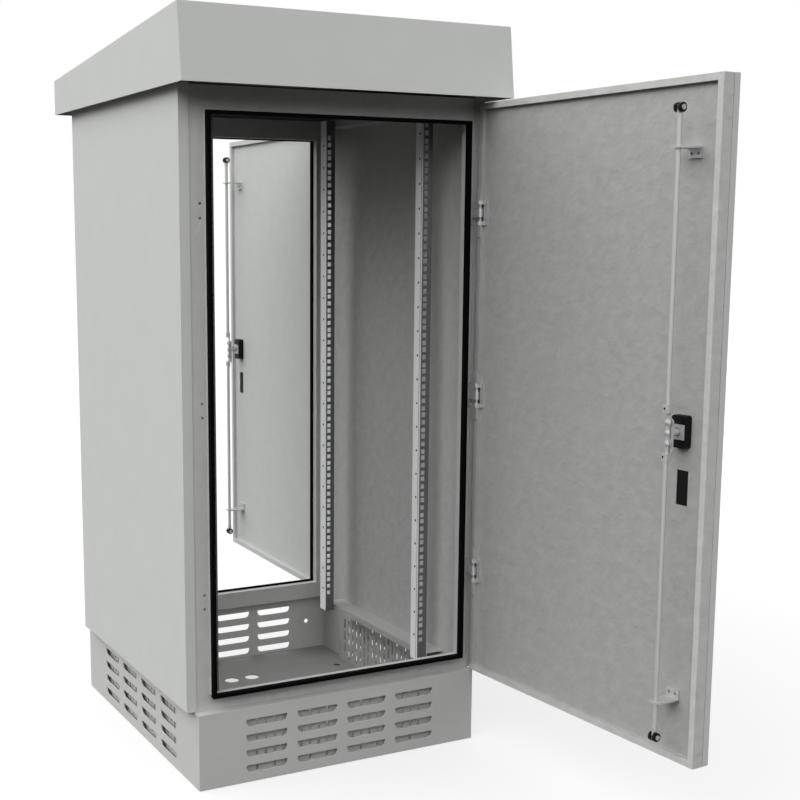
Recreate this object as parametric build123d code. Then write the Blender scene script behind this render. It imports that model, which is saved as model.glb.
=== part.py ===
from build123d import *
from math import cos, radians, sin
import os

# Body of the cabinet, origin at the middle of the plinth's bottom
body_width = 640.0
body_depth = 632.0
sheet = 1.5
panel_flange = 20.0
panel_lift = 2.0
wall_top = 1298.0
wall_sheet = 1.2
wall_inset = 33.0
overrun = 5.0
round_sides = 16
small_sides = 8
bolt_sides = 6
rod_sides = 10

# Plinth and floor
plinth_side_inset = 16.5
plinth_overhang = 19.5
plinth_height = 148.0
plinth_sheet = 2.0
plinth_top_flange = 25.5
plinth_side_flange = 18.0
anchor_flange = 60.0
anchor_inset = 43.5
anchor_span_y = 360.0
anchor_hole = 14.0
slot_columns = 4
slot_rows = 4
slot_length = 86.0
slot_height = 14.0
slot_corner = 9.0
slot_corner_steps = 2
slot_row_pitch = 30.5
slot_top = 124.5
front_slot_pitch = 109.0
side_slot_pitch = 115.5
floor_level = 10.0
floor_gap = 0.2
floor_skirt_gap = 35.5
cable_hole = 33.0
cable_hole_inset = 145.5
cable_hole_places = (-11.0, 40.0)
bond_hole = 10.0
bond_hole_inset = 50.5
bond_hole_height = 81.0

# Perforated plates behind the plinth slots
baffle_sheet = 1.5
baffle_stand = 8.0
baffle_height = 128.0
side_baffle_gap = 105.5
front_baffle_gap = 78.5
perforation_columns = 10
perforation_rows = 2
perforation_width = 4.0
perforation_height = 22.0
perforation_pitch_share = 0.094
perforation_row_pitch = 46.0
perforation_first = 34.0

# Door frames with a folded lip and a push-on seal
frame_sheet = 2.0
seal_inset = 44.5
sill_height = 30.5
front_header = 45.5
rear_header = 39.0
seal_width = 7.0
seal_depth = 14.0
seal_bite = 11.0
seal_cover = 2.5
seal_stand = 29.5

# Roof plate, hood and its runners
roof_sheet = 2.0
hood_sheet = 2.0
hood_side_overhang = 20.0
hood_front_overhang = 70.0
hood_rear_overhang = 58.0
hood_lap = 4.0
hood_front_height = 134.0
hood_rear_height = 72.0
hood_lean = 16.0
runner_width = 30.0
runner_end_gap = 16.0
runner_inset = 70.0

# Rack rails with square holes at the standard rack pitch
rack_unit = 44.45
rack_hole_offsets_share = (0.142857, 0.5, 0.857143)
rack_hole = 9.5
rack_foot = 38.0
rail_sheet = 2.0
rail_width = 20.5
rail_depth = 30.0
rail_land = 2.3
rail_lift = 4.0
rail_drop = 10.0
front_rail_setback = 69.5
rear_rail_setback = 144.5
depth_rail_height = 14.0
depth_rail_width = 41.0
bolt_neck = 5.0
bolt_head = 8.0
bolt_head_height = 4.0
bolt_fit = 0.05

# Doors, described closed at the front
door_inset = 13.0
door_lift = 2.0
door_drop = 11.0
door_sheet = 1.5
pan_depth = 22.0
skin_depth = 14.0
rim_width = 12.0
rim_reach = 7.5
seam_width = 1.2
seam_depth = 0.9
seal_gap = 0.4
front_open = 94.0
rear_open = 92.0

# Hinges
hinge_inset = 7.0
hinge_lift = 1.5
hinge_pitch = 359.5
knuckle_radius = 5.5
pin_radius = 2.5
pin_fit = 0.05
middle_knuckle = 17.0
end_knuckle = 8.0
knuckle_gap = 7.6
leaf_strip_length = 24.0
leaf_strip_width = 11.0
leaf_sheet = 2.0
leaf_overlap = 2.0
bridge_width = 10.0
bridge_sheet = 3.0
bridge_gap = 0.5
notch_margin = 0.5
bracket_sheet = 3.0
bracket_arm = 4.0
bracket_height = 48.0
bracket_width = 24.5
bracket_gap = 0.5
hinge_screw_inset = 19.5
hinge_screw_pitch = 26.0
hinge_screw = 5.0
hinge_screw_head = 8.0
hinge_screw_head_height = 3.0
hinge_screw_length = 7.0

# Three point lock on each door
lock_inset = 58.0
lock_z = 716.0
shaft_radius = 6.0
shaft_fit = 0.05
shaft_clear = 3.0
housing_width = 31.0
housing_height = 54.0
housing_depth = 14.4
housing_corner = 3.0
cam_lift = 5.5
cam_sheet = 2.5
cam_width = 16.0
cam_up = 24.0
cam_tongue = 36.0
cam_corner = 5.0
cam_collar = 9.0
crank_radius = 17.5
crank_pin = 3.5
crank_pin_height = 0.7

# Handle outside the door
plate_width = 36.0
plate_up = 34.0
plate_down = 141.0
plate_sheet = 4.0
plate_corner = 10.0
dish_width = 24.4
dish_top = 66.3
dish_bottom = 124.7
dish_wall = 2.2
dish_clear = 0.3
lever_gap = 3.0
lever_height = 10.5
lever_width = 22.0
lever_length = 130.0
lever_start = 12.0
lever_back = 6.0
lever_corner = 4.0
head_length = 18.0
head_width = 12.0
head_lift = 2.0
trunnion_radius = 2.5
trunnion_fit = 0.05
cheek_gap = 0.3

# Lock rods, guides and rollers
rod_radius = 4.0
rod_start = 36.0
roller_clear = 2.0
roller_frame_gap = 0.7
roller_radius = 7.8
roller_width = 5.2
roller_gap = 0.3
rod_tongue_width = 3.5
rod_tongue_length = 15.0
rod_end_gap = 1.2
rod_tongue_depth = 9.0
axle_radius = 2.0
axle_fit = 0.05
axle_head = 4.4
axle_head_height = 1.2
clip_width = 13.0
clip_height = 14.0
clip_place = 40.0
clip_depth = 7.5
link_width = 6.0
link_sheet = 1.5
link_gap = 0.4
link_eye = 7.0
guide_setback = 60.0
guide_sheet = 3.0
guide_root = 30.0
guide_tip = 18.0
guide_overhang = 7.0
guide_straight_share = 0.4
guide_foot = 18.0
guide_hole_spacing = 14.0
guide_hole = 5.0
guide_fit = 0.06

# Planes that several pieces share, measured forward from the middle
half_width = body_width / 2
half_depth = body_depth / 2
frame_face = half_depth - sheet
frame_back = frame_face - frame_sheet
frame_half = half_width - sheet
seal_half = half_width - seal_inset
seal_bottom = plinth_height + sill_height
front_seal_top = wall_top - front_header
rear_seal_top = wall_top - rear_header
seal_front = frame_face + seal_stand
lip_front = seal_front - seal_depth + seal_bite
wall_face = half_width - wall_inset
door_seat = seal_front - rim_reach
panel_face = seal_front + seal_gap
pan_back = door_seat + pan_depth
skin_face = pan_back + skin_depth
plinth_half_x = half_width - plinth_side_inset
plinth_half_y = half_depth + plinth_overhang
plinth_inner_x = plinth_half_x - plinth_sheet
plinth_inner_y = plinth_half_y - plinth_sheet
anchor_x = plinth_half_x - anchor_inset
door_half = half_width - door_inset
door_bottom = plinth_height + door_lift
door_top = wall_top - door_drop
door_middle = (door_bottom + door_top) / 2
hinge_heights = [door_middle - hinge_pitch, door_middle, door_middle + hinge_pitch]
hinge_x = door_half - hinge_inset
hinge_forward = door_seat + hinge_lift
hinge_screw_x = hinge_x - hinge_screw_inset
lock_x = lock_inset - door_half
rod_forward = frame_back - roller_frame_gap - roller_radius
cam_face = rod_forward + cam_lift


def block(x0, x1, y0, y1, z0, z1):
    """Rectangular solid between two corners."""
    return Pos(x0, y0, z0) * Box(x1 - x0, y1 - y0, z1 - z0, align=(Align.MIN, Align.MIN, Align.MIN))


def ahead(x0, x1, near, far, z0, z1):
    """Rectangular solid between two distances forward of the middle."""
    return block(x0, x1, -far, -near, z0, z1)


def bar(radius, length, sides, hole):
    """Upright bar: truly round, or flat-sided where small ones repeat. A hole is measured across flats."""
    if sides is None:
        return Cylinder(radius, length, align=(Align.CENTER, Align.CENTER, Align.MIN))
    return extrude(RegularPolygon(radius, sides, major_radius=not hole), amount=length)


def round_x(forward, z, x0, x1, radius, sides=small_sides, hole=False):
    """Bar along X at a distance forward of the middle."""
    return Pos(x0, -forward, z) * Rot(0, 90, 0) * bar(radius, x1 - x0, sides, hole)


def round_y(x, z, near, far, radius, sides=small_sides, hole=False):
    """Bar along Y between two distances forward of the middle."""
    return Pos(x, -near, z) * Rot(90, 0, 0) * bar(radius, far - near, sides, hole)


def round_z(x, forward, z0, z1, radius, sides=small_sides, hole=False):
    """Bar along Z at a distance forward of the middle."""
    return Pos(x, -forward, z0) * bar(radius, z1 - z0, sides, hole)


def save(node, shape):
    """Write one piece, or one group of like pieces, to its own file."""
    export_step(shape, f"parts/{node}.step")


def flip_x(shape):
    """Same piece on the other side of the cabinet."""
    return mirror(shape, about=Plane.YZ)


def flip_y(shape):
    """Same piece at the other end of the cabinet."""
    return mirror(shape, about=Plane.XZ)


# Plinth panels with flat-topped ventilation slots
def slot_cutter():
    """One slot through a panel, straight above and rounded at both lower corners."""
    half = slot_length / 2
    angles = [radians(90 * k / slot_corner_steps) for k in range(slot_corner_steps + 1)]
    corner = [(half - slot_corner * (1 - cos(a)), slot_corner * (1 - sin(a)) - slot_height) for a in angles]
    points = [(half, 0), *corner, *[(-x, z) for x, z in reversed(corner)], (-half, 0)]
    outline = make_face(Polyline(*points, close=True))
    return extrude(Plane.XZ * outline, amount=plinth_sheet + overrun, both=True)


def slot_grid(pitch):
    """All slots of one panel, about its middle."""
    cutter = slot_cutter()
    first = -pitch * (slot_columns - 1) / 2
    columns = [first + pitch * c for c in range(slot_columns)]
    rows = [slot_top - slot_row_pitch * r for r in range(slot_rows)]
    return [Pos(x, 0, z) * cutter for x in columns for z in rows]


def plinth_front():
    """Folded front panel with a top flange that the door frame stands on."""
    panel = ahead(-plinth_half_x, plinth_half_x, plinth_inner_y, plinth_half_y, 0, plinth_height)
    flange_back = plinth_half_y - plinth_top_flange
    flange_low = plinth_height - plinth_sheet
    panel += ahead(-plinth_inner_x, plinth_inner_x, flange_back, plinth_inner_y, flange_low, plinth_height)
    return panel - [Pos(0, -plinth_half_y, 0) * slot for slot in slot_grid(front_slot_pitch)]


def plinth_side():
    """Folded right panel with a top flange for the wall and an anchor flange below."""
    panel = block(plinth_inner_x, plinth_half_x, -plinth_inner_y, plinth_inner_y, 0, plinth_height)
    reach = plinth_half_y - plinth_top_flange
    flange_low = plinth_height - plinth_sheet
    flange_edge = plinth_inner_x - plinth_side_flange
    panel += block(flange_edge, plinth_inner_x, -reach, reach, flange_low, plinth_height)
    anchor_edge = plinth_inner_x - anchor_flange
    panel += block(anchor_edge, plinth_inner_x, -plinth_inner_y, plinth_inner_y, 0, plinth_sheet)
    for y in (-anchor_span_y / 2, anchor_span_y / 2):
        panel -= Pos(anchor_x, y, 0) * Cylinder(anchor_hole / 2, floor_level)
    turned = [Pos(plinth_half_x, 0, 0) * Rot(0, 0, 90) * slot for slot in slot_grid(side_slot_pitch)]
    return panel - turned


def plinth_rear():
    """Rear panel, like the front one, with a bonding hole beside the slots."""
    x = plinth_half_x - bond_hole_inset
    near = -plinth_half_y - overrun
    far = -plinth_inner_y + overrun
    bore = round_y(x, bond_hole_height, near, far, bond_hole / 2, hole=True)
    return flip_y(plinth_front()) - bore


save("plinth_front", plinth_front())
save("plinth_rear", plinth_rear())
save("plinth_right", plinth_side())
save("plinth_left", flip_x(plinth_side()))


# Floor plate on two skirts, with cable entries and room for the anchors
def floor_plate():
    """Flat plate low in the plinth."""
    half_x = plinth_inner_x - floor_gap
    half_y = plinth_inner_y - floor_gap
    skirt = plinth_half_y - floor_skirt_gap
    top = floor_level + plinth_sheet
    plate = block(-half_x, half_x, -half_y, half_y, floor_level, top)
    for side in (-1, 1):
        edges = sorted((side * half_x, side * (half_x - plinth_sheet)))
        plate += block(*edges, -skirt, skirt, plinth_sheet, floor_level)
        for y in (-anchor_span_y / 2, anchor_span_y / 2):
            plate -= round_z(side * anchor_x, y, 0, top + overrun, anchor_hole / 2, hole=True)
    for x in cable_hole_places:
        forward = cable_hole_inset - plinth_half_y
        plate -= round_z(x, forward, 0, top + overrun, cable_hole / 2, round_sides, hole=True)
    return plate


save("floor_plate", floor_plate())


# Perforated plates that stand on the floor behind the slots
def baffle(length):
    """Plate along X with two end flanges turned to the panel behind it."""
    low = floor_level + plinth_sheet
    high = low + baffle_height
    plate = block(-length / 2, length / 2, 0, baffle_sheet, low, high)
    for side in (-1, 1):
        edges = sorted((side * length / 2, side * (length / 2 - baffle_sheet)))
        plate += block(*edges, -baffle_stand, 0, low, high)
    pitch = length * perforation_pitch_share
    half = perforation_width / 2
    hole = block(-half, half, -overrun, overrun, 0, perforation_height)
    cuts = []
    for c in range(perforation_columns):
        x = pitch * (c - (perforation_columns - 1) / 2)
        drop = perforation_row_pitch / 2 if c % 2 else 0
        for r in range(perforation_rows):
            cuts.append(Pos(x, 0, low + perforation_first + perforation_row_pitch * r - drop) * hole)
    return plate - cuts


front_baffle = baffle((plinth_half_x - front_baffle_gap) * 2)
side_baffle = baffle((plinth_half_y - side_baffle_gap) * 2)
save("baffle_front", Pos(0, baffle_stand - plinth_inner_y, 0) * front_baffle)
right_baffle = Pos(plinth_inner_x - baffle_stand, 0, 0) * Rot(0, 0, 90) * side_baffle
save("baffle_right", right_baffle)
save("baffle_left", flip_x(right_baffle))


# Door frames: a plate whose opening is folded outward into a lip. The rear opening is a little taller
def opening(top, inset, near, far):
    """Block through a frame, inset from the outer edge of the seal."""
    half = seal_half - inset
    return ahead(-half, half, near, far, seal_bottom + inset, top - inset)


def frame_lip(top):
    """Lip around the opening, from the frame's back to the seal."""
    outer = opening(top, seal_cover, frame_back, lip_front)
    return outer - opening(top, seal_cover + frame_sheet, frame_back - overrun, lip_front + overrun)


def door_frame(top):
    """Frame plate with its lip, and hinge holes on both sides so that the door can change hands."""
    plate = ahead(-frame_half, frame_half, frame_back, frame_face, plinth_height, wall_top)
    plate -= opening(top, seal_cover, frame_back - overrun, frame_face + overrun)
    plate += frame_lip(top)
    steps = (-hinge_screw_pitch / 2, hinge_screw_pitch / 2)
    bore = hinge_screw / 2 + bolt_fit
    near = frame_back - overrun
    far = frame_face + overrun
    for x in (-hinge_screw_x, hinge_screw_x):
        places = [z + step for z in hinge_heights for step in steps]
        plate -= [round_y(x, z, near, far, bore, bolt_sides, hole=True) for z in places]
    return plate


def door_seal(top):
    """Black edge seal pushed over the lip."""
    ring = opening(top, 0, seal_front - seal_depth, seal_front)
    ring -= opening(top, seal_width, seal_front - seal_depth - overrun, seal_front + overrun)
    return ring - frame_lip(top)


save("front_frame", door_frame(front_seal_top))
save("rear_frame", flip_y(door_frame(rear_seal_top)))
save("front_seal", door_seal(front_seal_top))
save("rear_seal", flip_y(door_seal(rear_seal_top)))


# Outer side panels, inner walls and roof plate
def right_panel():
    """Outer panel with a flange that laps each frame."""
    low = plinth_height + panel_lift
    high = wall_top + roof_sheet
    panel = block(frame_half, half_width, -half_depth, half_depth, low, high)
    for side in (-1, 1):
        edges = sorted((side * half_depth, side * frame_face))
        panel += block(half_width - panel_flange, frame_half, *edges, low, high)
    return panel


right_wall = block(wall_face, wall_face + wall_sheet, -frame_back, frame_back, plinth_height, wall_top)
save("right_panel", right_panel())
save("left_panel", flip_x(right_panel()))
save("right_wall", right_wall)
save("left_wall", flip_x(right_wall))
roof_plate = block(-frame_half, frame_half, -frame_face, frame_face, wall_top, wall_top + roof_sheet)
save("roof_plate", roof_plate)


# Hood: a sloping folded shell, open below, on two runners
hood_half = half_width + hood_side_overhang
hood_front = half_depth + hood_front_overhang
hood_rear = half_depth + hood_rear_overhang
hood_bottom = wall_top - hood_lap
hood_front_top = hood_bottom + hood_front_height
hood_rear_top = hood_bottom + hood_rear_height


def hood_outline():
    """Side view of the hood, with a front that leans back square to the roof."""
    corners = [
        (-hood_front, hood_bottom),
        (-hood_front + hood_lean, hood_front_top),
        (hood_rear, hood_rear_top),
        (hood_rear, hood_bottom),
    ]
    return make_face(Plane.YZ * Polyline(*corners, close=True))


def hood():
    """Outline carried across the width and hollowed from below."""
    solid = Pos(-hood_half, 0, 0) * extrude(hood_outline(), amount=hood_half * 2, dir=(1, 0, 0))
    return offset(solid, amount=-hood_sheet, openings=solid.faces().sort_by(Axis.Z)[0])


def hood_underside(y):
    """Height of the hood's inner face at a place along the cabinet."""
    run = hood_rear + hood_front - hood_lean
    fall = hood_front_top - hood_rear_top
    slant = (run ** 2 + fall ** 2) ** 0.5
    return hood_front_top - fall * (y + hood_front - hood_lean) / run - hood_sheet * slant / run


def runner_side(low, drop):
    """Side view of a runner from a level up to a drop below the hood."""
    half = half_depth - runner_end_gap
    corners = [
        (-half, low),
        (-half, hood_underside(-half) - drop),
        (half, hood_underside(half) - drop),
        (half, low),
    ]
    return make_face(Plane.YZ * Polyline(*corners, close=True))


def hood_runner():
    """Right channel between the roof plate and the hood, open to the inside."""
    base = wall_top + roof_sheet
    solid = extrude(runner_side(base, 0), amount=runner_width, dir=(1, 0, 0))
    hollow = extrude(runner_side(base + hood_sheet, hood_sheet), amount=runner_width, dir=(1, 0, 0))
    return Pos(half_width - runner_inset, 0, 0) * (solid - Pos(-hood_sheet, 0, 0) * hollow)


save("hood", hood())
save("hood_runner_right", hood_runner())
save("hood_runner_left", flip_x(hood_runner()))


# Rack rails: folded channels with square holes, bolted to depth rails on the walls
rail_outer = wall_face - depth_rail_width
rail_inner = rail_outer - rail_width
rail_bottom = plinth_height + rail_lift
rail_top = wall_top - rail_drop
front_rail_face = front_rail_setback - half_depth
rear_rail_face = half_depth - rear_rail_setback
rack_bottom = rail_bottom + rack_foot
rack_units = int((rail_top - rack_bottom) // rack_unit)
bolt_heights = [rail_bottom + depth_rail_height / 2, rail_top - depth_rail_height / 2]
bolt_y_places = [front_rail_face + rail_depth / 2, rear_rail_face + rail_depth / 2]
bolt_hole = bolt_neck + bolt_fit * 2


def square_x(y, z, x0, x1, width):
    """Square bar along X."""
    half = width / 2
    return block(x0, x1, y - half, y + half, z - half, z + half)


def rack_rail(face):
    """Right rail whose front flange lies at the given place along Y."""
    back = face + rail_depth
    rail = block(rail_inner, rail_outer, face, back, rail_bottom, rail_top)
    hollow_left = rail_inner + rail_sheet
    hollow_right = rail_outer - rail_sheet
    rail -= block(hollow_left, hollow_right, face + rail_sheet, back + overrun, 0, rail_top + overrun)
    half = rack_hole / 2
    left = rail_inner + rail_land
    right = left + rack_hole
    cuts = []
    for unit in range(rack_units):
        for share in rack_hole_offsets_share:
            z = rack_bottom + rack_unit * (unit + share)
            cuts.append(block(left, right, face - overrun, face + overrun, z - half, z + half))
    for z in bolt_heights:
        neck = square_x(face + rail_depth / 2, z, hollow_right - overrun, rail_outer + overrun, bolt_hole)
        cuts.append(neck)
    return rail - cuts


def depth_rail(low):
    """Right channel that joins the rails, closed towards them and open to the wall."""
    front = front_rail_face
    rear = rear_rail_face + rail_depth
    high = low + depth_rail_height
    rail = block(rail_outer, wall_face, front, rear, low, high)
    hollow_left = rail_outer + rail_sheet
    hollow = block(hollow_left, wall_face + overrun, front, rear, low + rail_sheet, high - rail_sheet)
    rail -= hollow
    middle = low + depth_rail_height / 2
    right = hollow_left + overrun
    return rail - [square_x(y, middle, rail_outer - overrun, right, bolt_hole) for y in bolt_y_places]


def rail_bolt(y, z):
    """Square-necked bolt with its nut, through a rail and a depth rail on the right."""
    inside = rail_outer - rail_sheet
    outside = rail_outer + rail_sheet
    bolt = round_x(-y, z, inside - bolt_head_height, inside, bolt_head / 2, bolt_sides)
    bolt += square_x(y, z, inside, outside, bolt_neck)
    return bolt + round_x(-y, z, outside, outside + bolt_head_height, bolt_head / 2, bolt_sides)


for end, face in (("front", front_rail_face), ("rear", rear_rail_face)):
    rail = rack_rail(face)
    save(f"rail_{end}_right", rail)
    save(f"rail_{end}_left", flip_x(rail))
for level, low in (("lower", rail_bottom), ("upper", rail_top - depth_rail_height)):
    rail = depth_rail(low)
    save(f"depth_rail_{level}_right", rail)
    save(f"depth_rail_{level}_left", flip_x(rail))
right_bolts = [rail_bolt(y, z) for y in bolt_y_places for z in bolt_heights]
save("rail_bolts", Compound(children=right_bolts + [flip_x(bolt) for bolt in right_bolts]))


# Door: inner pan with a raised rim, and an outer skin that closes its back
def door_box(inset, near, far):
    """Block of the door's outline, inset from its edges."""
    return ahead(-door_half + inset, door_half - inset, near, far, door_bottom + inset, door_top - inset)


knuckle_reach = middle_knuckle / 2 + knuckle_gap + end_knuckle


def hinge_notch(z):
    """Room in the rim for the knuckles and the swing of the bracket arm."""
    half = knuckle_reach + notch_margin
    left = hinge_x - knuckle_radius - bridge_gap - bridge_width
    return ahead(left, door_half + overrun, door_seat - overrun, panel_face, z - half, z + half)


def lock_hole(near, far):
    """Round hole for the lock shaft."""
    return round_y(lock_x, lock_z, near, far, shaft_radius + shaft_clear, hole=True)


def dish_hole(near, far):
    """Hole for the handle's dish."""
    half = dish_width / 2 + dish_clear
    low = lock_z - dish_bottom - dish_clear
    high = lock_z - dish_top + dish_clear
    return ahead(lock_x - half, lock_x + half, near, far, low, high)


def door_pan():
    """Tray towards the cabinet: flat panel, folded up to a rim and down again at the edge."""
    panel_back = panel_face + door_sheet
    pan = door_box(0, door_seat, pan_back)
    pan -= door_box(rim_width, door_seat - overrun, panel_face)
    pan -= door_box(door_sheet, panel_back, pan_back + overrun)
    rim_hollow = door_box(door_sheet, door_seat + door_sheet, panel_back)
    rim_hollow -= door_box(rim_width - door_sheet, door_seat, panel_back + overrun)
    pan -= rim_hollow
    pan -= [hinge_notch(z) for z in hinge_heights]
    pan -= lock_hole(panel_face - overrun, panel_back + overrun)
    return pan - dish_hole(panel_face - overrun, panel_back + overrun)


def door_skin():
    """Outer tray that meets the pan edge to edge, with a narrow seam round the joint."""
    skin = door_box(0, pan_back, skin_face)
    skin -= door_box(door_sheet, pan_back - overrun, skin_face - door_sheet)
    seam_end = pan_back + seam_width
    skin -= door_box(-overrun, pan_back, seam_end) - door_box(seam_depth, pan_back, seam_end)
    skin -= lock_hole(skin_face - overrun, skin_face + overrun)
    return skin - dish_hole(skin_face - overrun, skin_face + overrun)


# Hinges: a bracket on the frame, a leaf on the door and a pin
def both_ends(z, low, high, shape):
    """A shape above a hinge's middle, joined by its copy below."""
    return shape(z + low, z + high) + shape(z - high, z - low)


def hinge_bracket(z):
    """Plate on the frame with an arm out to the middle knuckle."""
    half = bracket_height / 2
    knuckle = middle_knuckle / 2
    plate_face = frame_face + bracket_sheet
    right = hinge_x - bracket_gap
    bracket = ahead(right - bracket_width, right, frame_face, plate_face, z - half, z + half)
    bracket += ahead(right - bracket_arm, right, plate_face, hinge_forward, z - knuckle, z + knuckle)
    bracket += round_z(hinge_x, hinge_forward, z - knuckle, z + knuckle, knuckle_radius, rod_sides)
    bracket -= round_z(hinge_x, hinge_forward, z - half, z + half, pin_radius + pin_fit, hole=True)
    bore = hinge_screw / 2 + bolt_fit
    for step in (-hinge_screw_pitch / 2, hinge_screw_pitch / 2):
        place = z + step
        far = plate_face + overrun
        bracket -= round_y(hinge_screw_x, place, frame_back, far, bore, bolt_sides, hole=True)
    return bracket


def hinge_leaf(z):
    """Two end knuckles on a bridge, each with a strip that lies on the rim."""
    near = middle_knuckle / 2 + knuckle_gap
    far = knuckle_reach
    right = hinge_x - knuckle_radius - bridge_gap
    leaf = ahead(right - bridge_width, right, panel_face - bridge_sheet, panel_face, z - far, z + far)

    def end_barrel(low, high):
        """Knuckle with the foot that joins it to the bridge."""
        foot = ahead(right - bridge_sheet, hinge_x, hinge_forward, panel_face, low, high)
        return foot + round_z(hinge_x, hinge_forward, low, high, knuckle_radius, rod_sides)

    def strip(low, high):
        """Flat strip on the rim."""
        edge = door_half - notch_margin
        return ahead(edge - leaf_strip_width, edge, door_seat - leaf_sheet, door_seat, low, high)

    leaf += both_ends(z, near, far, end_barrel)
    leaf += both_ends(z, far - leaf_overlap, far + leaf_strip_length, strip)
    bore = pin_radius + pin_fit
    return leaf - round_z(hinge_x, hinge_forward, z - far - overrun, z + far + overrun, bore, hole=True)


def hinge_pin(z, sides):
    """Pin, flush with the outer ends of the knuckles."""
    return round_z(hinge_x, hinge_forward, z - knuckle_reach, z + knuckle_reach, pin_radius, sides)


def hinge_screws(z):
    """Two screws through a bracket into the frame."""
    face = frame_face + bracket_sheet
    screws = []
    for step in (-hinge_screw_pitch / 2, hinge_screw_pitch / 2):
        place = z + step
        head_face = face + hinge_screw_head_height
        head = round_y(hinge_screw_x, place, face, head_face, hinge_screw_head / 2, bolt_sides)
        shank = round_y(hinge_screw_x, place, face - hinge_screw_length, face, hinge_screw / 2, bolt_sides)
        screws.append(head + shank)
    return screws


# Lock: housing, shaft with cam, handle plate and lever
def lock_housing():
    """Moulded block on the panel that carries the shaft."""
    box = Box(housing_width, housing_depth, housing_height)
    box = chamfer(box.edges().filter_by(Axis.Y), housing_corner)
    box = Pos(lock_x, -panel_face + housing_depth / 2, lock_z) * box
    near = panel_face - housing_depth - overrun
    bore = shaft_radius + shaft_fit
    return box - round_y(lock_x, lock_z, near, panel_face + overrun, bore, hole=True)


lever_near = skin_face + plate_sheet + lever_gap
lever_far = lever_near + lever_height
trunnion_forward = (lever_near + lever_far) / 2


def lock_cam():
    """Shaft through the door: a cam plate with a tongue inside, a head with trunnions outside."""
    reach = cam_up + cam_tongue
    outline = chamfer(Rectangle(cam_width, reach).vertices(), cam_corner)
    plate = extrude(Plane.XZ * outline, amount=cam_sheet)
    cam = Pos(lock_x, -cam_face, lock_z + (cam_up - cam_tongue) / 2) * plate
    cam_back = cam_face + cam_sheet
    cam += round_y(lock_x, lock_z, cam_back, cam_back + cam_sheet, cam_collar, round_sides)
    for side in (-1, 1):
        pin_z = lock_z + side * crank_radius
        cam += round_y(lock_x, pin_z, cam_face - crank_pin_height, cam_face, crank_pin, bolt_sides)
    head_near = lever_near - head_lift / 2
    cam += round_y(lock_x, lock_z, cam_back, head_near, shaft_radius, None)
    half_x = head_length / 2
    half_z = head_width / 2
    cam += ahead(lock_x - half_x, lock_x + half_x, head_near, lever_far, lock_z - half_z, lock_z + half_z)
    low = lock_z - lever_width / 2
    high = lock_z + lever_width / 2
    return cam + round_z(lock_x, trunnion_forward, low, high, trunnion_radius, None)


def handle_plate():
    """Moulded plate outside with a finger dish that reaches through the door."""
    height = plate_up + plate_down
    outline = chamfer(Rectangle(plate_width, height).vertices(), plate_corner)
    plate = extrude(Plane.XZ * outline, amount=plate_sheet)
    plate = Pos(lock_x, -skin_face, lock_z + (plate_up - plate_down) / 2) * plate
    half = dish_width / 2
    back = panel_face + door_sheet + dish_clear
    low = lock_z - dish_bottom
    high = lock_z - dish_top
    plate += ahead(lock_x - half, lock_x + half, back, skin_face, low, high)
    inner = half - dish_wall
    front = skin_face + plate_sheet + overrun
    floor = back + dish_wall
    plate -= ahead(lock_x - inner, lock_x + inner, floor, front, low + dish_wall, high - dish_wall)
    bore = shaft_radius + shaft_fit
    return plate - round_y(lock_x, lock_z, skin_face - overrun, front, bore, hole=True)


def handle_lever():
    """Grip that lies over the plate and lifts on the trunnions, turned to the unlocked side."""
    half = lever_width / 2
    grip = Box(lever_length - lever_start, lever_height, lever_width)
    grip = chamfer(grip.edges().filter_by(Axis.Y), lever_corner)
    lever = Pos(lock_x + (lever_start + lever_length) / 2, -trunnion_forward, lock_z) * grip
    cheek_near = head_width / 2 + cheek_gap
    cheek_end = lock_x + lever_start + lever_corner
    for side in (-1, 1):
        edges = sorted((lock_z + side * cheek_near, lock_z + side * half))
        lever += ahead(lock_x - lever_back, cheek_end, lever_near, lever_far, *edges)
    clear = (head_length ** 2 + (lever_height + head_lift) ** 2) ** 0.5 / 2 + cheek_gap
    lever -= round_z(lock_x, trunnion_forward, lock_z - cheek_near, lock_z + cheek_near, clear, hole=True)
    low = lock_z - half - overrun
    high = lock_z + half + overrun
    return lever - round_z(lock_x, trunnion_forward, low, high, trunnion_radius + trunnion_fit, hole=True)


# Rods: each has a clip, a link across to the far crank pin and a flat end for its rollers
upper_roller_z = front_seal_top - seal_width - roller_clear - roller_radius
lower_roller_z = seal_bottom + seal_width + roller_clear + roller_radius
roller_reach = {1: upper_roller_z - lock_z, -1: lock_z - lower_roller_z}


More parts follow.
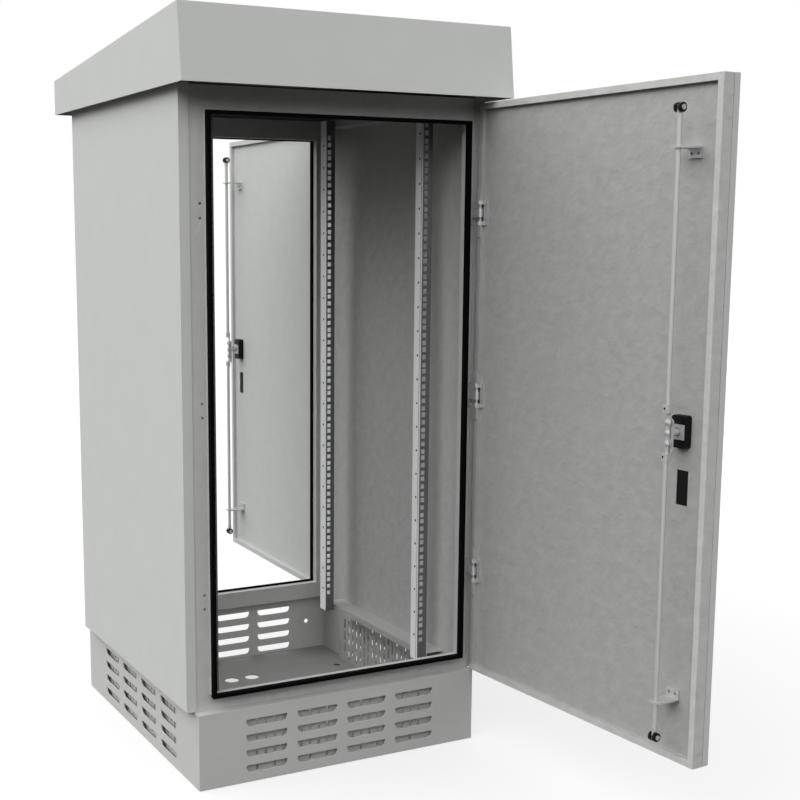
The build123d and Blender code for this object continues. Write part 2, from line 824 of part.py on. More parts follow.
def lock_rod(side, link_face):
    """Rod above the lock for side 1 or below it for side -1."""
    def span(a, b):
        """Heights between two distances from the lock, in order."""
        return sorted((lock_z + side * a, lock_z + side * b))

    reach = roller_reach[side]
    bar_end = reach - roller_radius - rod_end_gap
    rod = round_z(lock_x, rod_forward, *span(rod_start, bar_end), rod_radius, rod_sides)
    half = rod_tongue_width / 2
    flat_near = rod_forward - rod_tongue_depth / 2
    flat_far = rod_forward + rod_tongue_depth / 2
    flat_ends = span(bar_end - rod_tongue_length / 2, reach + rod_tongue_depth / 2)
    rod += ahead(lock_x - half, lock_x + half, flat_near, flat_far, *flat_ends)
    axle_z = lock_z + side * reach
    outside = half + roller_gap + roller_width + roller_gap
    rod += round_x(rod_forward, axle_z, lock_x - outside, lock_x + outside, axle_radius)
    for end in (-1, 1):
        caps = sorted((lock_x + end * outside, lock_x + end * (outside + axle_head_height)))
        rod += round_x(rod_forward, axle_z, *caps, axle_head)
    clip_half = clip_width / 2
    clip_far = rod_forward + rod_radius
    clip_ends = span(clip_place - clip_height / 2, clip_place + clip_height / 2)
    rod += ahead(lock_x - clip_half, lock_x + clip_half, clip_far - clip_depth, clip_far, *clip_ends)
    link_half = link_width / 2
    link_back = link_face + link_sheet
    link_ends = span(-crank_radius, clip_place)
    rod += ahead(lock_x - link_half, lock_x + link_half, link_face, link_back, *link_ends)
    return rod + round_y(lock_x, lock_z - side * crank_radius, link_face, link_back, link_eye, rod_sides)


def rod_rollers(side):
    """Two rollers on the axle at a rod's end."""
    z = lock_z + side * roller_reach[side]
    inner = rod_tongue_width / 2 + roller_gap
    rollers = []
    for end, bore_sides in ((-1, small_sides), (1, None)):
        faces = sorted((lock_x + end * inner, lock_x + end * (inner + roller_width)))
        roller = round_x(rod_forward, z, *faces, roller_radius, round_sides)
        bore = round_x(rod_forward, z, *faces, axle_radius + axle_fit, bore_sides, hole=True)
        rollers.append(roller - bore)
    return Compound(children=rollers)


def rod_guide(side):
    """Bracket on the panel: a tapered shelf round the rod and a foot with two holes."""
    tip = rod_forward - guide_overhang
    bend = panel_face - (panel_face - tip) * guide_straight_share
    root = guide_root / 2
    end = guide_tip / 2
    right_edge = [(root, -panel_face), (root, -bend), (end, -tip)]
    corners = right_edge + [(-x, y) for x, y in reversed(right_edge)]
    shelf = extrude(make_face(Polyline(*corners, close=True)), amount=guide_sheet)
    z = lock_z + side * (roller_reach[side] - guide_setback)
    low = z if side < 0 else z - guide_sheet
    guide = Pos(lock_x, 0, low) * shelf
    foot_ends = sorted((z, z - side * guide_foot))
    guide += ahead(lock_x - root, lock_x + root, panel_face - guide_sheet, panel_face, *foot_ends)
    bore = rod_radius + guide_fit
    guide -= round_z(lock_x, rod_forward, z - guide_foot, z + guide_foot, bore, rod_sides, hole=True)
    hole_z = z - side * (guide_foot + guide_sheet) / 2
    near = panel_face - overrun
    far = panel_face + overrun
    for x in (lock_x - guide_hole_spacing / 2, lock_x + guide_hole_spacing / 2):
        guide -= round_y(x, hole_z, near, far, guide_hole / 2, bolt_sides, hole=True)
    return guide


# Both doors: closed pieces are swung open about the hinge line, and the rear door is the front one flipped
front_axis = Axis((hinge_x, -hinge_forward, 0), (0, 0, 1))
rear_axis = Axis((hinge_x, hinge_forward, 0), (0, 0, 1))
upper_link = rod_forward + rod_radius + link_gap - link_sheet
lower_link = upper_link - link_gap - link_sheet
pin_sides = (small_sides, None, small_sides)
fixed_pieces = {
    "hinge_brackets": Compound(children=[hinge_bracket(z) for z in hinge_heights]),
    "hinge_pins": Compound(children=[hinge_pin(z, s) for z, s in zip(hinge_heights, pin_sides)]),
    "hinge_screws": Compound(children=[screw for z in hinge_heights for screw in hinge_screws(z)]),
}
swinging_pieces = {
    "door_pan": door_pan(),
    "door_skin": door_skin(),
    "hinge_leaves": Compound(children=[hinge_leaf(z) for z in hinge_heights]),
    "lock_housing": lock_housing(),
    "lock_cam": lock_cam(),
    "handle_plate": handle_plate(),
    "handle_lever": handle_lever(),
    "upper_rod": lock_rod(1, upper_link),
    "lower_rod": lock_rod(-1, lower_link),
    "upper_rollers": rod_rollers(1),
    "lower_rollers": rod_rollers(-1),
    "rod_guides": Compound(children=[rod_guide(1), rod_guide(-1)]),
}
for name, piece in fixed_pieces.items():
    save(f"front_{name}", piece)
    save(f"rear_{name}", flip_y(piece))
for name, piece in swinging_pieces.items():
    save(f"front_{name}", piece.rotate(front_axis, front_open))
    save(f"rear_{name}", flip_y(piece).rotate(rear_axis, -rear_open))
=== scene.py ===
import math

import bpy
import numpy as np
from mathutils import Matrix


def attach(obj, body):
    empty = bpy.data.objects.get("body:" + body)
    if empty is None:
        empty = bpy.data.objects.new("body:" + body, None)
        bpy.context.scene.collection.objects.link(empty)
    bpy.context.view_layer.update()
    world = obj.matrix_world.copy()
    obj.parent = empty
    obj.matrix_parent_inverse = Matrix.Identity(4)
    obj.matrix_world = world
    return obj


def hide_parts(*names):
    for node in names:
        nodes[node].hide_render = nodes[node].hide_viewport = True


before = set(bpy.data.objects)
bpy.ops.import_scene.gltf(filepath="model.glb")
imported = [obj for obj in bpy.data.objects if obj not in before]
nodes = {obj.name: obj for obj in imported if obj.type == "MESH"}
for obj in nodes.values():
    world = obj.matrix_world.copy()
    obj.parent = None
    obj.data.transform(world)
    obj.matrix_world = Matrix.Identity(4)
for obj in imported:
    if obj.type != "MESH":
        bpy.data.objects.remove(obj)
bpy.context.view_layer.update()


# Plinth: four folded steel panels with punched slots round a low floor plate, welded at the corners.
# All are powder coated grey, the floor plate darker, and they stand on the ground on their lower flanges.
def linear(code):
    """Linear rgba of an sRGB hex code: c / 12.92 below 0.04045, else ((c + 0.055) / 1.055) ** 2.4."""
    parts = [int(code[i:i + 2], 16) / 255 for i in (1, 3, 5)]
    return [c / 12.92 if c < 0.04045 else ((c + 0.055) / 1.055) ** 2.4 for c in parts] + [1.0]


def add(tree, kind, inputs, **settings):
    """One shader node. Each input is a constant, an output, or a node whose first output is linked."""
    node = tree.nodes.new(kind)
    for name, value in settings.items():
        setattr(node, name, value)
    for name, value in inputs.items():
        if isinstance(value, bpy.types.Node):
            value = value.outputs[0]
        if isinstance(value, bpy.types.NodeSocket):
            tree.links.new(value, node.inputs[name])
        else:
            node.inputs[name].default_value = value
    return node


def new_material(name, code, rough, metal=0.0, shine=0.5):
    """Principled material with its tree, its shader and its object coordinates."""
    material = bpy.data.materials.new(name)
    material.use_nodes = True
    tree = material.node_tree
    shader = tree.nodes["Principled BSDF"]
    shader.inputs["Base Color"].default_value = linear(code)
    shader.inputs["Roughness"].default_value = rough
    shader.inputs["Metallic"].default_value = metal
    shader.inputs["Specular IOR Level"].default_value = shine
    place = tree.nodes.new("ShaderNodeTexCoord").outputs["Object"]
    return material, tree, shader, place


def zone(tree, place, tests):
    """1 where any test holds, else 0. A test is an axis, a comparison and its limits in mm."""
    along = add(tree, "ShaderNodeSeparateXYZ", {"Vector": place})
    hit = None
    for axis, comparison, *limits_mm in tests:
        limits = {socket: limit / 1000 for socket, limit in enumerate(limits_mm, 1)}
        test = add(tree, "ShaderNodeMath", {0: along.outputs[axis], **limits}, operation=comparison)
        hit = test if hit is None else add(tree, "ShaderNodeMath", {0: hit, 1: test}, operation="MAXIMUM")
    return hit


# Nearly all of a noise lies between these values.
noise_span = {"From Min": 0.3, "From Max": 0.7}


def powder_coat(name, code, rough, grain, peel, mottle, painted_light_rim=()):
    """Powder coat sprayed and baked on steel: a fine grain and a slow orange peel, each (width, depth) in mm.
    Both are bumps on rounded edges, and the peel also shifts the colour's value by up to the share mottle.
    The coat is painted lighter where a rim test holds, as painted light."""
    edge_mm = 1.2
    painted_light_gain = 1.36
    material, tree, shader, place = new_material(name, code, rough, shine=0.3)
    waves = add(tree, "ShaderNodeTexNoise",
                {"Vector": place, "Scale": 1000 / peel[0], "Detail": 2.0, "Roughness": 0.5})
    value = add(tree, "ShaderNodeMapRange",
                {"Value": waves, **noise_span, "To Min": 1 - mottle, "To Max": 1 + mottle})
    if painted_light_rim:
        # Painted light: the rim's colour is raised by a fixed gain.
        rim = zone(tree, place, painted_light_rim)
        gain = add(tree, "ShaderNodeMapRange", {"Value": rim, "To Min": 1.0, "To Max": painted_light_gain})
        value = add(tree, "ShaderNodeMath", {0: value, 1: gain}, operation="MULTIPLY")
    tone = add(tree, "ShaderNodeHueSaturation", {"Value": value, "Color": linear(code)})
    edge = add(tree, "ShaderNodeBevel", {"Radius": edge_mm / 1000}, samples=4)
    slow = add(tree, "ShaderNodeBump",
               {"Height": waves, "Normal": edge, "Strength": 1.0, "Distance": peel[1] / 1000})
    specks = add(tree, "ShaderNodeTexNoise",
                 {"Vector": place, "Scale": 1000 / grain[0], "Detail": 3.0, "Roughness": 0.6})
    fine = add(tree, "ShaderNodeBump",
               {"Height": specks, "Normal": slow, "Strength": 1.0, "Distance": grain[1] / 1000})
    tree.links.new(tone.outputs[0], shader.inputs["Base Color"])
    tree.links.new(fine.outputs[0], shader.inputs["Normal"])
    return material


def paint(material, *names):
    """Give CAD nodes one material."""
    for name in names:
        nodes[name].data.materials.clear()
        nodes[name].data.materials.append(material)


# A matt coat with a faint grain. The floor's is a darker grey.
plain_grain = (3.0, 0.05)
plain_peel = (60.0, 0.2)
plinth_coat = powder_coat("plinth grey powder coat", "#c2c2c0", 0.55, plain_grain, plain_peel, 0.015)
floor_coat = powder_coat("floor grey powder coat", "#999997", 0.6, plain_grain, plain_peel, 0.02)
paint(plinth_coat, "plinth_front", "plinth_rear", "plinth_left", "plinth_right")
paint(floor_coat, "floor_plate")


# Perforated plates behind the slots: thin coated steel with staggered upright slits that keep leaves out
# while air passes. Each has a flange at both ends, spot welded to the plinth.
def mesh_piece(name, points, faces, material, body, smooth=True):
    """One mesh from points in millimetres and faces, on a CAD body."""
    mesh = bpy.data.meshes.new(name)
    metres = np.asarray(points, float).reshape(-1, 3) / 1000
    mesh.from_pydata(metres.tolist(), [], np.asarray(faces).tolist())
    mesh.polygons.foreach_set("use_smooth", [smooth] * len(mesh.polygons))
    mesh.materials.append(material)
    mesh.update()
    piece = bpy.data.objects.new(name, mesh)
    bpy.context.scene.collection.objects.link(piece)
    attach(piece, body)
    return piece


def box_sides(x, y, z):
    """Outward quads of boxes between the pairs x, y and z: left, right, front, back, bottom and top."""
    def quad(*corners):
        """Quads from four corners, each picking the low or high value of x, y and z."""
        rows = [np.stack(np.broadcast_arrays(x[i], y[j], z[k]), axis=-1) for i, j, k in corners]
        return np.stack(rows, axis=-2)

    return (quad((0, 0, 0), (0, 0, 1), (0, 1, 1), (0, 1, 0)),
            quad((1, 0, 0), (1, 1, 0), (1, 1, 1), (1, 0, 1)),
            quad((0, 0, 0), (1, 0, 0), (1, 0, 1), (0, 0, 1)),
            quad((0, 1, 0), (0, 1, 1), (1, 1, 1), (1, 1, 0)),
            quad((0, 0, 0), (0, 1, 0), (1, 1, 0), (1, 0, 0)),
            quad((0, 0, 1), (1, 0, 1), (1, 1, 1), (0, 1, 1)))


# The same matt coat, a little lighter than the floor's, so that the slits stand out dark.
plate_coat = powder_coat("plate grey powder coat", "#b4b4b2", 0.6, plain_grain, plain_peel, 0.02)


def perforated(name, length, place, mirrored=False):
    """Plate from a = -length / 2 to length / 2 and from z = 12 to 140 mm, cut into cells by the slits' edges.
    Column c of slits stands at a = 19 (c + 1/2). Row r starts at z = 18 + 30 r, or 15 higher in odd columns.
    A cell inside a slit is left out, and each edge between a kept cell and a gap gets a wall."""
    sheet, flange, low, high = 1.5, 8, 12.0, 140.0
    slit_width, slit_height = 5, 22
    column_pitch, row_pitch, first_row, stagger = 19, 30, 18, 15
    half_count = int(length / 2 / column_pitch)
    columns = column_pitch * (np.arange(1 - half_count, half_count - 1) + 0.5)
    rows = [first_row + stagger * odd + row_pitch * np.arange(4 - odd) for odd in (0, 1)]
    slit_edges = (columns[:, None] + np.array([-slit_width / 2, slit_width / 2])).ravel()
    xs = np.unique(np.r_[-length / 2, length / 2, slit_edges])
    zs = np.unique(np.r_[low, high, rows[0], rows[0] + slit_height, rows[1], rows[1] + slit_height])
    mid_x = (xs[:-1] + xs[1:]) / 2
    mid_z = (zs[:-1] + zs[1:]) / 2
    kept = np.ones((len(mid_x), len(mid_z)), bool)
    for odd in (0, 1):
        in_column = (abs(mid_x[:, None] - columns[odd::2]) < slit_width / 2).any(axis=1)
        in_row = (abs(mid_z[:, None] - rows[odd] - slit_height / 2) < slit_height / 2).any(axis=1)
        kept &= ~np.outer(in_column, in_row)
    i, j = np.nonzero(kept)
    beside = np.pad(kept, 1)
    left, right, front, back, bottom, top = box_sides((xs[i], xs[i + 1]), (0, sheet), (zs[j], zs[j + 1]))
    quads = [front, back, left[~beside[i, j + 1]], right[~beside[i + 2, j + 1]],
             bottom[~beside[i + 1, j]], top[~beside[i + 1, j + 2]]]
    ends = np.array([-length / 2, length / 2 - sheet])
    left, right, front, _, bottom, top = box_sides((ends, ends + sheet), (-flange, 0), (low, high))
    quads = np.concatenate([*quads, left, right, front, bottom, top])
    quads = quads[:, ::-1] if mirrored else quads
    points = quads.reshape(-1, 3)
    world = np.stack(place(*points.T), axis=-1)
    faces = np.arange(len(points)).reshape(-1, 4)
    piece = mesh_piece(name, world, faces, plate_coat, "cabinet", smooth=False)
    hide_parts(name.replace("perforated", "baffle"))


front_plate_y = 325.5
side_plate_x = 293.5
perforated("perforated_front", 450, lambda a, b, z: (a, b - front_plate_y, z))
perforated("perforated_right", 460, lambda a, b, z: (side_plate_x - b, a, z))
perforated("perforated_left", 460, lambda a, b, z: (b - side_plate_x, a, z), mirrored=True)


# Body, hood and doors: folded and welded sheet steel, powder coated. The outer panels and skins are smooth.
# The frames, inner walls and front door pan carry a coarser leathery coat, as wide as the photo shows it.
smooth_coat = powder_coat("smooth grey powder coat", "#c8cac7", 0.55, (2.0, 0.006), (60.0, 0.05), 0.012)
paint(smooth_coat, "left_panel", "right_panel", "hood", "front_door_skin", "rear_door_skin")
paint(smooth_coat, "hood_runner_left", "hood_runner_right")

# A wrinkled texture coat that breaks the light into soft mottles.
leather_coat = powder_coat("leathery grey powder coat", "#b2b3b0", 0.5, (11.0, 0.8), (24.0, 1.6), 0.05)
frame_coat = powder_coat("frame grey powder coat", "#c0c1be", 0.5, (9.0, 0.4), (24.0, 1.2), 0.03)
paint(leather_coat, "left_wall", "right_wall")
paint(frame_coat, "front_frame", "rear_frame")

# The front pan's rim, which lies past these limits, is painted lighter than its flat panel: painted light on
# the rim, so that the recessed panel reads as shaded. The rear pan is smoother.
pan_rim_painted_light = (("Y", "LESS_THAN", -931.5), ("Z", "LESS_THAN", 162.0), ("Z", "GREATER_THAN", 1275.0))
door_coat = powder_coat("leathery door powder coat with painted rim light", "#a9aaa7", 0.5, (11.0, 0.9), (24.0, 1.8), 0.05, pan_rim_painted_light)
rear_door_coat = powder_coat("smooth rear door powder coat", "#c3c5c2", 0.55, (9.0, 0.2), (40.0, 0.4), 0.02)
paint(door_coat, "front_door_pan")
paint(rear_door_coat, "rear_door_pan")

# Painted shade: a matt black coat on the roof plate, standing in for the shade at the top of the inside.
painted_shade_roof = powder_coat("roof plate painted black as shade", "#161617", 0.9, plain_grain, plain_peel, 0.05)
paint(painted_shade_roof, "roof_plate")


# Door seals: extruded black rubber with a rounded face, pushed over the lip of each frame.
# Each is cut in four lengths that meet in mitres.
def moulding(name, code, rough, shine):
    """Black plastic or rubber with a spark-eroded grain, drawn coarser than the real one so that it shows."""
    grain_mm = 0.8
    depth_mm = 0.03
    material, tree, shader, place = new_material(name, code, rough, shine=shine)
    specks = add(tree, "ShaderNodeTexNoise",
                 {"Vector": place, "Scale": 1000 / grain_mm, "Detail": 2.0, "Roughness": 0.5})
    bump = add(tree, "ShaderNodeBump", {"Height": specks, "Strength": 1.0, "Distance": depth_mm / 1000})
    tree.links.new(bump.outputs[0], shader.inputs["Normal"])
    return material


# Dull and nearly without a highlight.
rubber = moulding("black seal rubber", "#050506", 0.9, 0.05)


def seal(name, side, middle, half_height):
    """Mitred ring: point (s, f) of the profile lies, in mm and with corner signs u and w, at
    x = (272 + s) u, y = side (330 + f) and z = middle + (half_height + s) w.
    Its face is s = 3.5 sgn(c) |c| ** 0.5, f = 10 + 4 |sin t| ** 0.6 with c = cos t.
    A groove behind it takes the frame's lip."""
    half_opening, frame_face = 272, 330
    half_seal, crown_base, crown, half_groove, groove_depth = 3.5, 10, 4, 1.0, 11
    face_points = 17
    t = np.linspace(0, math.pi, face_points)
    c = np.cos(t)
    face = np.c_[half_seal * np.sign(c) * abs(c) ** 0.5, crown_base + crown * abs(np.sin(t)) ** 0.6]
    back = [(-half_seal, 0), (-half_groove, 0), (-half_groove, groove_depth)]
    back += [(half_groove, groove_depth), (half_groove, 0), (half_seal, 0)]
    s, f = np.vstack([face, back]).T
    corners = np.array([(-1, -1), (1, -1), (1, 1), (-1, 1)])
    ends = np.stack([corners, np.roll(corners, -1, axis=0)], axis=1)
    u, w = ends[..., :1], ends[..., 1:]
    spots = ((half_opening + s) * u, side * (frame_face + f), middle + (half_height + s) * w)
    points = np.stack(np.broadcast_arrays(*spots), axis=-1)
    count = len(s)
    i = np.arange(count)
    j = (i + 1) % count
    loop = np.stack([i, j, count + j, count + i], axis=-1)[:, ::side]
    faces = loop + 2 * count * np.arange(len(corners))[:, None, None]
    piece = mesh_piece(name, points, faces.reshape(-1, 4), rubber, "cabinet")
    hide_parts(name.replace("_ring", ""))


seal("front_seal_ring", -1, 715.5, 533.5)
seal("rear_seal_ring", 1, 718.75, 536.75)


# Rack rails and depth rails: bent and punched steel, zinc plated and bolted together.
# A row of small holes runs up each rail's web, with a fold line beside it on the front rails; both are drawn
# as flat pieces of painted shade.
def zinc_plating(name, code, rough, metal, painted_shade_zone=()):
    """Zinc plated steel: its roughness varies in small crystals, and its edges are softened.
    Faces in the given zone are painted darker, as painted shade."""
    crystal_mm = 6.0
    edge_mm = 0.5
    painted_shade_share = 0.12
    smoother, rougher = 0.08, 0.1
    material, tree, shader, place = new_material(name, code, rough, metal)
    crystals = add(tree, "ShaderNodeTexNoise",
                   {"Vector": place, "Scale": 1000 / crystal_mm, "Detail": 4.0, "Roughness": 0.6})
    gloss = add(tree, "ShaderNodeMapRange",
                {"Value": crystals, **noise_span, "To Min": rough - smoother, "To Max": rough + rougher})
    edge = add(tree, "ShaderNodeBevel", {"Radius": edge_mm / 1000}, samples=4)
    tree.links.new(gloss.outputs[0], shader.inputs["Roughness"])
    tree.links.new(edge.outputs[0], shader.inputs["Normal"])
    if painted_shade_zone:
        dark = zone(tree, place, painted_shade_zone)
        value = add(tree, "ShaderNodeMapRange", {"Value": dark, "To Min": 1.0, "To Max": painted_shade_share})
        tone = add(tree, "ShaderNodeHueSaturation", {"Value": value, "Color": linear(code)})
        tree.links.new(tone.outputs[0], shader.inputs["Base Color"])
    return material


# Painted light and shade: the webs are painted nearly white as a painted reflection, and the flanges with the
# rack holes painted dark as painted shade, on the planes y = -245.5 and 172.5.
shaded_flange_planes = (("Y", "COMPARE", -245.5, 1.3), ("Y", "COMPARE", 172.5, 1.3))
lit_and_shaded_rail_zinc = zinc_plating("zinc plated rail with painted shade on the flange", "#fbfcfc", 0.4, 0.0, shaded_flange_planes)
paint(lit_and_shaded_rail_zinc, "rail_front_left", "rail_front_right", "rail_rear_left", "rail_rear_right")

# Bright plating with a soft gleam for bolts, and a duller one for the depth rails.
zinc = zinc_plating("bright zinc plated steel", "#c6c7c6", 0.38, 0.5)
dull_zinc = zinc_plating("dull zinc plated steel", "#b4b5b4", 0.5, 0.2)
paint(zinc, "rail_bolts")
for hand in ("left", "right"):
    paint(dull_zinc, f"depth_rail_lower_{hand}", f"depth_rail_upper_{hand}")

# Painted shade: the dark that the eye meets in a small hole or a tight fold, given to flat pieces.
shadow = moulding("painted shade inside a punched hole", "#1c1d1e", 0.9, 0.5)


def discs(name, centres, along, across, radius, body):
    """Flat discs of painted shade: centre + radius (cos t along + sin t across), for t in twelve steps of a
    turn.
    """
    count = 12
    t = (np.arange(count) * 2 * math.pi / count)[:, None]
    ring = radius * (np.cos(t) * np.array(along, float) + np.sin(t) * np.array(across, float))
    points = np.array(centres, float)[:, None] + ring
    faces = np.arange(len(centres) * count).reshape(-1, count)
    return mesh_piece(name, points, faces, shadow, body, smooth=False)


web_x = 225.35
web_rows = (-231.5, 186.5)
web_heights = [205 + 49 * k for k in range(22)]
web_hole_radius = 2.6
fold_y = (-239.6, -238.4)
fold_z = (154, 1286)
for hand, side in (("left", -1), ("right", 1)):
    holes = [(side * web_x, y, z) for y in web_rows for z in web_heights]
    discs(f"rail_web_hole_shades_{hand}", holes, (0, 1, 0), (0, 0, -side), web_hole_radius, "cabinet")
    fold = [(side * web_x, fold_y[i], fold_z[k]) for i, k in ((0, 0), (1, 0), (1, 1), (0, 1))]
    mesh_piece(f"rail_fold_shade_{hand}", fold[::-side], [(0, 1, 2, 3)], shadow, "cabinet", smooth=False)


# Hinges and lock rods: zinc plated brackets, leaves, pins, rods and guides, screwed or welded in place.
# Lock housings, handle plates, levers and rollers are injection moulded in black plastic with a satin face.
black = moulding("black moulded plastic", "#08080a", 0.5, 0.2)
for end in ("front", "rear"):
    for name in ("hinge_brackets", "hinge_leaves", "hinge_pins", "hinge_screws"):
        paint(zinc, f"{end}_{name}")
    for name in ("lock_cam", "upper_rod", "lower_rod", "rod_guides"):
        paint(zinc, f"{end}_{name}")
    for name in ("lock_housing", "handle_plate", "handle_lever", "upper_rollers", "lower_rollers"):
        paint(black, f"{end}_{name}")


# Lock washers, rivets and pins: a punched zinc plate round each lock's shaft, three domed rivet heads on each
# lower link plate, and a pin hole in each rod clip. The rivets are pressed in, and each hole is a flat disc
# of painted shade.
def opened(end, x, forward, z):
    """Points of a closed door, turned about the hinge line at x = 300, forward = 338 in mm:
    94 degrees at the front and -92 at the rear."""
    hinge_x, hinge_forward = 300, 338
    side = 1 if end == "front" else -1
    angle = math.radians(94 if end == "front" else -92)
    dx = x - hinge_x
    dy = -side * (forward - hinge_forward)
    turned_x = hinge_x + dx * math.cos(angle) - dy * math.sin(angle)
    turned_y = dx * math.sin(angle) + dy * math.cos(angle) - side * hinge_forward
    return np.stack(np.broadcast_arrays(turned_x, turned_y, z), axis=-1)


lock_x = -249
lock_z = 716


def rivets(name, end, heights, body):
    """Caps of revolution on the lower link plate: radius 5.5 cos a, height 3 sin a, a from 0 to pi / 2."""
    radius, rise, plate_forward = 5.5, 3.0, 305
    turns, rings = 20, 6
    centres = np.array(heights)[:, None, None]
    a = (np.arange(rings + 1) * math.pi / 2 / rings)[:, None]
    t = np.arange(turns) * 2 * math.pi / turns
    spread = radius * np.cos(a)
    x, z = lock_x + spread * np.cos(t), centres + spread * np.sin(t)
    points = opened(end, x, plate_forward - rise * np.sin(a), z)
    first = (np.arange(len(heights))[:, None] * (rings + 1) + np.arange(rings))[..., None] * turns
    i = np.arange(turns)
    j = (i + 1) % turns
    faces = np.stack([first + i, first + j, first + turns + j, first + turns + i], axis=-1).reshape(-1, 4)
    faces = faces[:, ::-1] if end == "front" else faces
    return mesh_piece(name, points, faces, zinc, body)


def washer_plate(name, end, body):
    """Plate on the lock housing's face, 327.5 to 329.9 mm forward, with a round hole of radius 7.2.
    Its outline runs at (14.2 c / m, 12.5 s / m) about the shaft, where c = cos t, s = sin t
    and m is the larger of |c| and |s|."""
    half_width, half_height, hole_radius = 14.2, 12.5, 7.2
    near_far = np.array([327.5, 329.9])[:, None, None]
    count = 32
    t = np.arange(count) * 2 * math.pi / count
    c, s = np.cos(t), np.sin(t)
    m = np.maximum(abs(c), abs(s))
    across = np.stack([half_width * c / m, hole_radius * c])
    up = np.stack([half_height * s / m, hole_radius * s])
    points = opened(end, lock_x + across, near_far, lock_z + up)
    i = np.arange(count)
    j = (i + 1) % count
    outer, inner, outer_back, inner_back = count * np.arange(4)
    walls = [(outer + i, inner + i, inner + j, outer + j),
             (outer_back + i, outer_back + j, inner_back + j, inner_back + i),
             (outer + i, outer + j, outer_back + j, outer_back + i),
             (inner + i, inner_back + i, inner_back + j, inner + j)]
    faces = np.array(walls).transpose(2, 0, 1).reshape(-1, 4)
    faces = faces if end == "front" else faces[:, ::-1]
    return mesh_piece(name, points, faces, zinc, body, smooth=False)


rivet_pitch = 17.5
rivet_heights = [lock_z - rivet_pitch, lock_z, lock_z + rivet_pitch]
pin_x = lock_x + 3.4
pin_forward = 300.35
pin_radius = 2.2
for end in ("front", "rear"):
    washer_plate(f"{end}_lock_washer", end, f"{end}_door")
    rivets(f"{end}_link_rivets", end, rivet_heights, f"{end}_lower_bolt")
    door_line = opened(end, 1, 0, 0) - opened(end, 0, 0, 0)
    pin_up = (0, 0, -1 if end == "front" else 1)
    for level, z in (("upper", 756), ("lower", 676)):
        pin = [opened(end, pin_x, pin_forward, z)]
        discs(f"{end}_{level}_clip_pin_hole_shade", pin, door_line, pin_up, pin_radius, f"{end}_{level}_bolt")


# Studio: a plain pale floor and a white surround for the camera, lit by a soft sky, brighter on the left.
# To other rays the floor gives back little light, so the inside and the hood's underside fall dark.
def ray_kinds(tree):
    """Two 0 or 1 outputs: rays from the camera, and rays off a glossy or through a clear surface."""
    path = tree.nodes.new("ShaderNodeLightPath").outputs
    pair = {0: path["Is Glossy Ray"], 1: path["Is Transmission Ray"]}
    mirrored = add(tree, "ShaderNodeMath", pair, operation="MAXIMUM")
    return path["Is Camera Ray"], mirrored


floor_half = 30
floor_level = -0.001
floor_mesh = bpy.data.meshes.new("floor")
floor_signs = ((-1, -1), (1, -1), (1, 1), (-1, 1))
floor_corners = [(floor_half * u, floor_half * v, floor_level) for u, v in floor_signs]
floor_mesh.from_pydata(floor_corners, [], [(0, 1, 2, 3)])
floor = bpy.data.objects.new("floor", floor_mesh)
bpy.context.scene.collection.objects.link(floor)

# The camera sees glow plus the sky's light on a pale floor: white in the open and a little less in shadow.
glow_to_camera, glow_to_mirrors = 0.68, 0.5
grey_to_camera, grey_to_others = 0.25, 0.042
floor_white, tree, shader, _ = new_material("pale floor", "#898989", 0.9, shine=0.0)
shader.inputs["Emission Color"].default_value = (1.0, 1.0, 1.0, 1.0)
camera_ray, mirrored = ray_kinds(tree)
mirror_glow = add(tree, "ShaderNodeMapRange", {"Value": mirrored, "To Max": glow_to_mirrors})
glow = add(tree, "ShaderNodeMapRange", {"Value": camera_ray, "To Min": mirror_glow, "To Max": glow_to_camera})
tree.links.new(glow.outputs[0], shader.inputs["Emission Strength"])
grey = add(tree, "ShaderNodeMapRange",
           {"Value": camera_ray, "To Min": grey_to_others, "To Max": grey_to_camera})
tree.links.new(grey.outputs[0], shader.inputs["Base Color"])
floor_mesh.materials.append(floor_white)

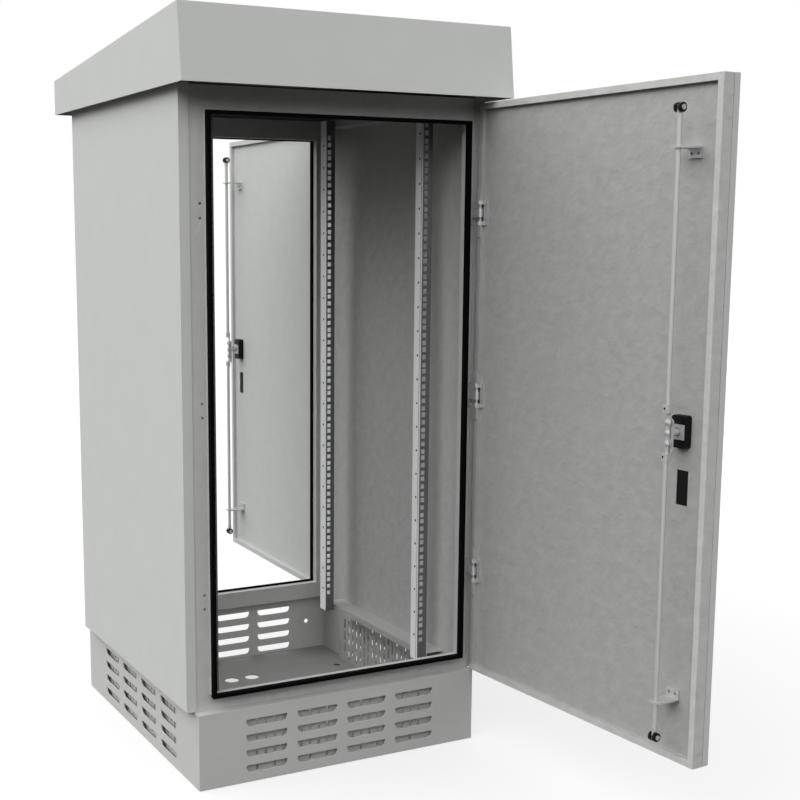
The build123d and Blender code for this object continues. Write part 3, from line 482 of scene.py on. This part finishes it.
# The sky is a band that rises above the horizon, thins out overhead and falls off from left to right.
sky_left, sky_right = 4.38, 0.46
world = bpy.data.worlds.new("white surround")
bpy.context.scene.world = world
world.use_nodes = True
tree = world.node_tree
toward = tree.nodes.new("ShaderNodeTexCoord").outputs["Generated"]
ray = add(tree, "ShaderNodeSeparateXYZ", {"Vector": toward}).outputs
rising = add(tree, "ShaderNodeMapRange", {"Value": ray["Z"], "From Min": 0.15, "From Max": 0.55})
falling = add(tree, "ShaderNodeMapRange",
              {"Value": ray["Z"], "From Min": 0.65, "From Max": 0.9, "To Min": 1.0, "To Max": 0.4})
band = add(tree, "ShaderNodeMath", {0: rising, 1: falling}, operation="MULTIPLY")
sideways = add(tree, "ShaderNodeMapRange",
               {"Value": ray["X"], "From Min": -1.0, "From Max": 1.0,
                "To Min": sky_left, "To Max": sky_right})
sky = add(tree, "ShaderNodeMath", {0: band, 1: sideways}, operation="MULTIPLY")
camera_ray, mirrored = ray_kinds(tree)
white_ray = add(tree, "ShaderNodeMath", {0: camera_ray, 1: mirrored}, operation="MAXIMUM")
strength = add(tree, "ShaderNodeMapRange", {"Value": white_ray, "To Min": sky, "To Max": 1.0})
background = tree.nodes["Background"]
tree.links.new(strength.outputs[0], background.inputs["Strength"])
background.inputs["Color"].default_value = (1.0, 1.0, 1.0, 1.0)


# Camera: solved from the cabinet's edges in the photograph's frame, with its focal length and axis in pixels.
# It looks slightly down at the front and left sides.
image_size = 800
focal_length = 1337.2
axis_x, axis_y = 310, 440
pitch, yaw = 8.84, 26.65
camera_data = bpy.data.cameras.new("camera")
camera_data.sensor_width = 36.0
camera_data.lens = focal_length / image_size * camera_data.sensor_width
camera_data.shift_x = (image_size / 2 - axis_x) / image_size
camera_data.shift_y = (axis_y - image_size / 2) / image_size
camera = bpy.data.objects.new("camera", camera_data)
bpy.context.scene.collection.objects.link(camera)
camera.location = (-1.1883, -2.5607, 1.0410)
camera.rotation_euler = (math.radians(90 - pitch), 0.0, math.radians(-yaw))
bpy.context.scene.camera = camera
bpy.context.scene.view_settings.view_transform = "Standard"
